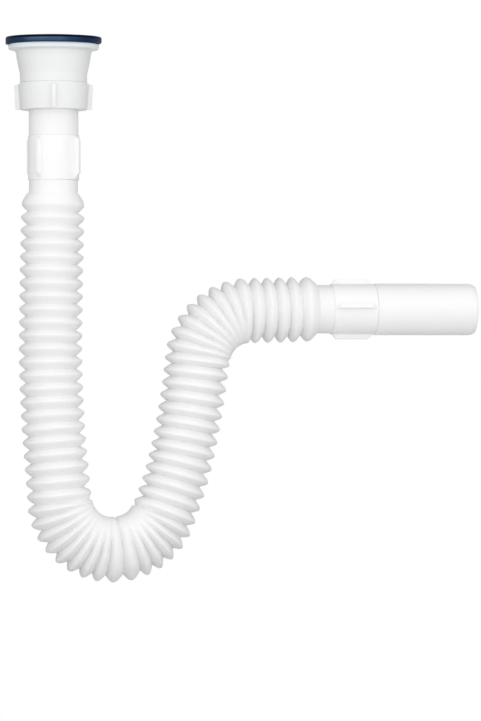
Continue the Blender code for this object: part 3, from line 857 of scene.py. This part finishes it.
def make_cup_wall(top, foot):
    """Flange, cone and spigot in one turned wall."""
    cone_foot = foot + SPIGOT_LENGTH
    bore = SPIGOT_RADIUS - SPIGOT_WALL
    inside = cup_inside(CONE_LENGTH)
    corners = [
        (FLANGE_RADIUS, top, 0.5 * MM),
        (FLANGE_RADIUS, top - FLANGE_THICKNESS, 1.4 * MM),
        (FLARE_RADIUS, top - FLARE_DROP, 2.2 * MM),
    ]
    corners += [(radius, top - drop, 3.0 * MM) for radius, drop in CONE_PROFILE]
    corners += [
        (CONE_FOOT_RADIUS, cone_foot, 0.4 * MM),
        (THREAD_CORE_RADIUS, cone_foot, 0.0),
        (THREAD_CORE_RADIUS, foot, 0.5 * MM),
        (bore, foot, 0.4 * MM),
        (bore, cone_foot - (inside - bore) / 2, 1.0 * MM),
        (inside, cone_foot + (inside - bore) / 2, 1.0 * MM),
        (inside, cone_foot + CUP_BAND, 3.0 * MM),
        (cup_inside(0.0), top, 0.7 * MM),
    ]
    return piece("cup_wall", turned(rounded(corners)))


def make_boss(top):
    """Round boss in the middle of the cup that holds the brass insert."""
    boss_top = top - BOSS_DROP
    boss_foot = boss_top - BOSS_HEIGHT
    socket = INSERT_RADIUS + FIT_GAP
    outside = socket + BOSS_WALL
    seat = boss_top - INSERT_LENGTH - FIT_GAP
    corners = [
        (outside, boss_top, 0.5 * MM),
        (outside, boss_foot, 0.5 * MM),
        (INSERT_RADIUS - 0.9 * MM, boss_foot, EDGE),
        (INSERT_RADIUS - 0.9 * MM, seat, 0.0),
        (socket, seat, 0.0),
        (socket, boss_top, EDGE),
    ]
    return piece("cup_boss", turned(rounded(corners), SMALL_SIDES))


class TRAP_OT_cup(bpy.types.Operator):
    """Makes the flared cup with its cross, its boss, its thread and the brass insert"""

    bl_idname = "trap.cup"
    bl_label = "Cup"

    def execute(self, context):
        sizes = context.scene.trap_sizes
        colours = context.scene.trap_colours
        low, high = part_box("inlet_cup")
        # The cup's flange gets a painted reflection of the blue gasket
        plastic = natural_plastic("cup_plastic", colours.cup, 0.34, painted_reflection=PAINTED_GASKET_REFLECTION)
        cup = make_cup_wall(high.z, low.z)
        fuse(cup, make_boss(high.z))
        web_top = high.z - WEB_DROP
        web_foot = web_top - WEB_HEIGHT
        start = INSERT_RADIUS + BOSS_WALL / 2
        top_end = cup_inside(WEB_DROP) + CUP_WALL / 2
        foot_end = cup_inside(WEB_DROP + WEB_HEIGHT) + CUP_WALL / 2
        outline = [(start, web_top), (top_end, web_top), (foot_end, web_foot), (start, web_foot)]
        webs = piece("cup_webs", plate(outline, WEB_THICKNESS, 0.35 * MM))
        grow(webs, ring_array_tree(), count=RIB_COUNT, first_angle=math.radians(45), material=plastic)
        fuse(cup, webs)
        thread = grow(
            piece("cup_thread", bmesh.new()),
            thread_tree(),
            radius=THREAD_CORE_RADIUS,
            pitch=sizes.thread_pitch,
            length=SPIGOT_LENGTH - 2.4 * MM,
            depth=sizes.thread_depth,
            material=plastic,
        )
        thread.data.transform(Matrix.Translation((0.0, 0.0, low.z + 1.0 * MM)))
        absorb(cup, thread)
        cup.name = "flared_cup"
        dress(cup, plastic, "cup", "inlet_cup")
        self.make_insert(colours)
        return {"FINISHED"}

    @staticmethod
    def make_insert(colours):
        """Brass sleeve with a holding groove and a fine screw thread in its bore."""
        low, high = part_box("screw_insert")
        brass = turned_brass("insert_brass", colours.brass)
        middle = (low.z + high.z) / 2
        groove = INSERT_RADIUS - 0.5 * MM
        corners = [
            (INSERT_BORE_RADIUS, high.z, 0.35 * MM),
            (INSERT_RADIUS, high.z, 0.2 * MM),
            (INSERT_RADIUS, middle + INSERT_GROOVE, 0.1 * MM),
            (groove, middle + INSERT_GROOVE, 0.1 * MM),
            (groove, middle - INSERT_GROOVE, 0.1 * MM),
            (INSERT_RADIUS, middle - INSERT_GROOVE, 0.1 * MM),
            (INSERT_RADIUS, low.z, 0.2 * MM),
            (INSERT_BORE_RADIUS, low.z, 0.35 * MM),
        ]
        insert = piece("threaded_insert", turned(rounded(corners), SMALL_SIDES))
        thread = grow(
            piece("insert_thread", bmesh.new()),
            thread_tree(),
            radius=INSERT_BORE_RADIUS + 0.05 * MM,
            pitch=INSERT_THREAD_PITCH,
            length=high.z - low.z - 1.2 * MM,
            depth=INSERT_THREAD_DEPTH,
            material=brass,
        )
        thread.data.transform(Matrix.Translation((0.0, 0.0, low.z + 0.6 * MM)))
        absorb(insert, thread)
        dress(insert, brass, "cup", "screw_insert")


class TRAP_OT_union(bpy.types.Operator):
    """Makes the union: the rubber washer, the tail with its flange, and the nut round them"""

    bl_idname = "trap.union"
    bl_label = "Union"

    def execute(self, context):
        self.make_washer(context.scene.trap_colours)
        self.make_nut(context.scene)
        self.make_tail(context.scene.trap_colours)
        return {"FINISHED"}

    @staticmethod
    def make_washer(colours):
        low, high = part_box("flange_washer")
        material = rubber("washer_rubber", colours.washer, WASHER_BLOOM, 0.6)
        corners = [
            (WASHER_HOLE_RADIUS, high.z, EDGE),
            (high.x, high.z, EDGE),
            (high.x, low.z, EDGE),
            (WASHER_HOLE_RADIUS, low.z, EDGE),
        ]
        washer = piece("flat_washer", turned(rounded(corners)))
        dress(washer, material, "washer", "flange_washer")

    @staticmethod
    def make_nut(scene):
        low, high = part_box("coupling_nut")
        plastic = natural_plastic("nut_plastic", scene.trap_colours.cup, 0.32)
        floor_top = low.z + NUT_FLOOR
        hole = TAIL_RADIUS + FIT_GAP
        corners = [
            (NUT_BORE_RADIUS, high.z + SEAM_COVER, EDGE),
            (NUT_TOP_RADIUS - 1.1 * MM, high.z + SEAM_COVER, 0.5 * MM),
            (NUT_TOP_RADIUS, high.z - 1.9 * MM, 1.2 * MM),
            (NUT_FOOT_RADIUS, low.z, 0.6 * MM),
            (hole, low.z, EDGE),
            (hole, floor_top, 0.2 * MM),
            (SPIGOT_RADIUS + FIT_GAP, floor_top, 0.0),
            (SPIGOT_RADIUS + FIT_GAP, floor_top + 4.0 * MM, EDGE),
            (NUT_BORE_RADIUS, floor_top + 4.5 * MM, EDGE),
        ]
        nut = piece("union_nut", turned(rounded(corners)))
        buried = NUT_FOOT_RADIUS - 0.6 * MM
        outline = [
            (buried, high.z - EDGE),
            (NUT_TOP_RADIUS - 1.1 * MM, high.z - EDGE),
            (NUT_RIB_RADIUS, high.z - 1.5 * MM),
            (NUT_RIB_RADIUS - 0.7 * MM, low.z + EDGE),
            (buried, low.z + EDGE),
        ]
        ribs = piece("nut_ribs", plate(outline, NUT_RIB_WIDTH, RIB_EDGE))
        grow(ribs, ring_array_tree(), count=RIB_COUNT, first_angle=NUT_RIB_ANGLE, material=plastic)
        fuse(nut, ribs)
        thread = grow(
            piece("nut_thread", bmesh.new()),
            thread_tree(),
            radius=NUT_BORE_RADIUS + 0.1 * MM,
            pitch=scene.trap_sizes.thread_pitch,
            length=NUT_THREAD_LENGTH,
            depth=NUT_THREAD_DEPTH,
            material=plastic,
        )
        thread.data.transform(Matrix.Translation((0.0, 0.0, high.z - NUT_THREAD_DROP)))
        absorb(nut, thread)
        dress(nut, plastic, "nut", "coupling_nut")

    @staticmethod
    def make_tail(colours):
        low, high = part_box("inlet_tail")
        plastic = natural_plastic("tail_plastic", colours.pipe, 0.28, (1.0, 1.0, 0.06))
        shoulder = low.z + SOCKET_END_LENGTH
        bore = TAIL_RADIUS - TAIL_WALL
        end_bore = SOCKET_END_RADIUS - SOCKET_END_WALL
        corners = [
            (bore, high.z, EDGE),
            (high.x, high.z, EDGE),
            (high.x, high.z - TAIL_FLANGE, EDGE),
            (TAIL_RADIUS, high.z - TAIL_FLANGE, 0.4 * MM),
            (TAIL_RADIUS, shoulder, EDGE),
            (SOCKET_END_RADIUS, shoulder, 0.0),
            (SOCKET_END_RADIUS, low.z, EDGE),
            (end_bore, low.z, EDGE),
            (end_bore, shoulder + 0.8 * MM, EDGE),
            (bore, shoulder + 2.4 * MM, 0.5 * MM),
        ]
        tail = piece("flanged_tail", turned(rounded(corners)))
        dress(tail, plastic, "hose", "inlet_tail")


def collar_shape(name, material, rib_angle, foot_chamfer, top_chamfer):
    """Ribbed sleeve with a stop ring inside. It stands on height 0, round the Z axis."""
    bore = COLLAR_RADIUS - COLLAR_WALL
    middle = COLLAR_LENGTH / 2
    corners = [
        (bore, -SEAM_COVER, 0.2 * MM),
        (COLLAR_RADIUS, -SEAM_COVER, 0.6 * MM),
        (COLLAR_RADIUS, COLLAR_LENGTH + SEAM_COVER, 0.6 * MM),
        (bore, COLLAR_LENGTH + SEAM_COVER, 0.2 * MM),
        (bore, middle + COLLAR_STOP, 0.0),
        (bore - COLLAR_STOP, middle + COLLAR_STOP, 0.2 * MM),
        (bore - COLLAR_STOP, middle - COLLAR_STOP, 0.2 * MM),
        (bore, middle - COLLAR_STOP, 0.0),
    ]
    collar = piece(name, turned(rounded(corners)))
    buried = COLLAR_RADIUS - COLLAR_WALL / 2
    low = EDGE
    high = COLLAR_LENGTH - EDGE
    outline = [
        (buried, low),
        (COLLAR_RADIUS - 0.5 * MM, low),
        (COLLAR_RIB_RADIUS, low + foot_chamfer),
        (COLLAR_RIB_RADIUS, high - top_chamfer),
        (COLLAR_RADIUS - 0.5 * MM, high),
        (buried, high),
    ]
    ribs = piece(name + "_ribs", plate(outline, COLLAR_RIB_WIDTH, RIB_EDGE))
    grow(ribs, ring_array_tree(), count=RIB_COUNT, first_angle=rib_angle, material=material)
    return fuse(collar, ribs)


def outlet_place(start):
    """Turns a piece that stands on the Z axis so that it lies along the outlet, from this X onwards."""
    low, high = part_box("outlet_pipe")
    place_now = Matrix.Translation((start, 0.0, (low.z + high.z) / 2))
    return place_now @ Matrix.Rotation(math.radians(90), 4, "Y")


class TRAP_OT_collars(bpy.types.Operator):
    """Makes the two ribbed collars that the hose's ends are glued into"""

    bl_idname = "trap.collars"
    bl_label = "Collars"

    def execute(self, context):
        colour = context.scene.trap_colours.collar
        for node, angle, chamfers in (
            ("inlet_collar", INLET_RIB_ANGLE, (LONG_CHAMFER, SHORT_CHAMFER)),
            ("outlet_collar", OUTLET_RIB_ANGLE, (SHORT_CHAMFER, LONG_CHAMFER)),
        ):
            plastic = natural_plastic(node + "_plastic", colour, 0.25)
            collar = collar_shape("ribbed_" + node, plastic, angle, *chamfers)
            low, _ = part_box(node)
            upright = Matrix.Translation((0.0, 0.0, low.z))
            collar.data.transform(upright if node == "inlet_collar" else outlet_place(low.x))
            dress(collar, plastic, "hose", node)
        return {"FINISHED"}


class TRAP_OT_outlet(bpy.types.Operator):
    """Makes the straight outlet pipe"""

    bl_idname = "trap.outlet"
    bl_label = "Outlet pipe"

    def execute(self, context):
        low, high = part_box("outlet_pipe")
        colour = context.scene.trap_colours.pipe
        plastic = natural_plastic("outlet_plastic", colour, 0.28, (0.06, 1.0, 1.0))
        length = high.x - low.x - SOCKET_END_LENGTH
        bore = OUTLET_RADIUS - OUTLET_WALL
        end_bore = SOCKET_END_RADIUS - SOCKET_END_WALL
        corners = [
            (end_bore, -SOCKET_END_LENGTH, EDGE),
            (SOCKET_END_RADIUS, -SOCKET_END_LENGTH, EDGE),
            (SOCKET_END_RADIUS, 0.0, 0.0),
            (OUTLET_RADIUS, 0.0, EDGE),
        ]
        corners += [(OUTLET_RADIUS - depth, length - back, rounding) for depth, back, rounding in OUTLET_LEAD]
        corners += [
            (bore, length, EDGE),
            (bore, OUTLET_WALL, 0.5 * MM),
            (end_bore, 0.0, 0.5 * MM),
        ]
        pipe = piece("straight_outlet", turned(rounded(corners)))
        pipe.data.transform(outlet_place(low.x + SOCKET_END_LENGTH))
        dress(pipe, plastic, "hose", "outlet_pipe")
        return {"FINISHED"}


class TRAP_OT_stage(bpy.types.Operator):
    """Sets the floor, the soft light and the camera of the photograph"""

    bl_idname = "trap.stage"
    bl_label = "Stage"

    def execute(self, context):
        add_floor()
        add_light()
        add_camera()
        context.scene.view_settings.view_transform = "Standard"
        return {"FINISHED"}


def white_share(graph):
    """1 where the camera or a reflection sees the surroundings, and 0 where they only give light."""
    seen = graph.node("ShaderNodeLightPath", output="Is Camera Ray")
    glossy = graph.node("ShaderNodeLightPath", output="Is Glossy Ray")
    through = graph.node("ShaderNodeLightPath", output="Is Transmission Ray")
    return (seen + glossy + through).maths("MINIMUM", 1.0)


def add_floor():
    """A round floor well below the trap, which keeps its shadow."""
    shape = bmesh.new()
    bmesh.ops.create_circle(shape, cap_ends=True, segments=FLOOR_SIDES, radius=FLOOR_REACH)
    bmesh.ops.translate(shape, verts=shape.verts, vec=FLOOR_CENTRE)
    floor = piece("floor", shape)
    material = bpy.data.materials.new("pale_floor")
    material.use_nodes = True
    graph = Graph(material.node_tree)
    material.node_tree.nodes.remove(material.node_tree.nodes["Principled BSDF"])
    place = graph.node("ShaderNodeTexCoord", output="Object")
    reach = graph.node("ShaderNodeVectorMath", {"operation": "DISTANCE"}, {0: place, 1: FLOOR_CENTRE}, 1)
    fade = {"Value": reach, "From Min": FLOOR_REACH * 0.4, "From Max": FLOOR_REACH, "To Min": FLOOR_WHITENESS}
    whiteness = graph.node("ShaderNodeMapRange", {}, fade)
    paint = graph.node("ShaderNodeBsdfDiffuse", {}, {"Color": FLOOR_PAINT})
    glow = graph.node("ShaderNodeEmission", {}, {"Color": WHITE, "Strength": 1.0})
    mix = graph.node("ShaderNodeMixShader", {}, {0: white_share(graph) * whiteness, 1: paint, 2: glow})
    material.node_tree.links.new(mix.socket, material.node_tree.nodes["Material Output"].inputs["Surface"])
    floor.data.materials.append(material)


def add_light():
    """A soft room that is bright on the camera's side and dark behind the trap, with two soft boxes."""
    world = bpy.data.worlds.new("studio")
    bpy.context.scene.world = world
    world.use_nodes = True
    graph = Graph(world.node_tree)
    direction = graph.node("ShaderNodeTexCoord", output="Generated")
    ways = {0: direction, 1: LIGHT_WAY}
    facing = graph.node("ShaderNodeVectorMath", {"operation": "DOT_PRODUCT"}, ways, 1)
    steps = {"Value": facing, "From Min": -LIGHT_BLEND, "From Max": LIGHT_BLEND}
    steps.update({"To Min": BACK_LEVEL, "To Max": FRONT_LEVEL})
    room = graph.node("ShaderNodeMapRange", {"interpolation_type": "SMOOTHSTEP"}, steps)
    white = white_share(graph)
    background = world.node_tree.nodes["Background"]
    background.inputs["Color"].default_value = WHITE
    world.node_tree.links.new((room + white * (1.0 - room)).socket, background.inputs["Strength"])
    for name, (place_now, size, power) in LAMPS.items():
        data = bpy.data.lights.new(name, "AREA")
        data.shape = "DISK"
        data.size = size
        data.energy = power
        lamp = bpy.data.objects.new(name, data)
        bpy.context.scene.collection.objects.link(lamp)
        lamp.location = place_now
        lamp.visible_glossy = name == "front_box"
        aim = CAMERA_TARGET - lamp.location
        lamp.rotation_euler = aim.to_track_quat("-Z", "Y").to_euler()


def add_camera():
    """The camera of the photograph, level and turned a little from the trap's front."""
    data = bpy.data.cameras.new("camera")
    data.sensor_width = SENSOR
    data.sensor_fit = "AUTO"
    data.lens = SENSOR * CAMERA_FOCUS_PIXELS / PHOTO_LONG_SIDE
    data.clip_end = CAMERA_REACH
    camera = bpy.data.objects.new("camera", data)
    bpy.context.scene.collection.objects.link(camera)
    towards = Vector((math.sin(CAMERA_TURN), math.cos(CAMERA_TURN), 0.0))
    camera.location = CAMERA_TARGET - CAMERA_DISTANCE * towards
    camera.rotation_euler = (math.radians(90), 0.0, -CAMERA_TURN)
    bpy.context.scene.camera = camera


class TRAP_PT_panel(bpy.types.Panel):
    """Lists the trap's sizes, colours and pieces"""

    bl_label = "Sink trap"
    bl_idname = "TRAP_PT_panel"
    bl_space_type = "VIEW_3D"
    bl_region_type = "UI"
    bl_category = "Sink trap"

    def draw(self, context):
        for group in (context.scene.trap_sizes, context.scene.trap_colours):
            column = self.layout.column()
            for name in group.__annotations__:
                column.prop(group, name)
        column = self.layout.column()
        for operator in OPERATORS:
            column.operator(operator.bl_idname)


OPERATORS = (
    TRAP_OT_gasket,
    TRAP_OT_cup,
    TRAP_OT_union,
    TRAP_OT_collars,
    TRAP_OT_hose,
    TRAP_OT_outlet,
    TRAP_OT_stage,
)
CLASSES = (TrapSizes, TrapColours, *OPERATORS, TRAP_PT_panel)


def register():
    for item in CLASSES:
        bpy.utils.register_class(item)
    bpy.types.Scene.trap_sizes = bpy.props.PointerProperty(type=TrapSizes)
    bpy.types.Scene.trap_colours = bpy.props.PointerProperty(type=TrapColours)


def unregister():
    del bpy.types.Scene.trap_colours
    del bpy.types.Scene.trap_sizes
    for item in reversed(CLASSES):
        bpy.utils.unregister_class(item)


def main():
    register()
    bpy.ops.trap.gasket()
    bpy.ops.trap.cup()
    bpy.ops.trap.union()
    bpy.ops.trap.collars()
    bpy.ops.trap.hose()
    bpy.ops.trap.outlet()
    bpy.ops.trap.stage()


if __name__ == "__main__":
    main()
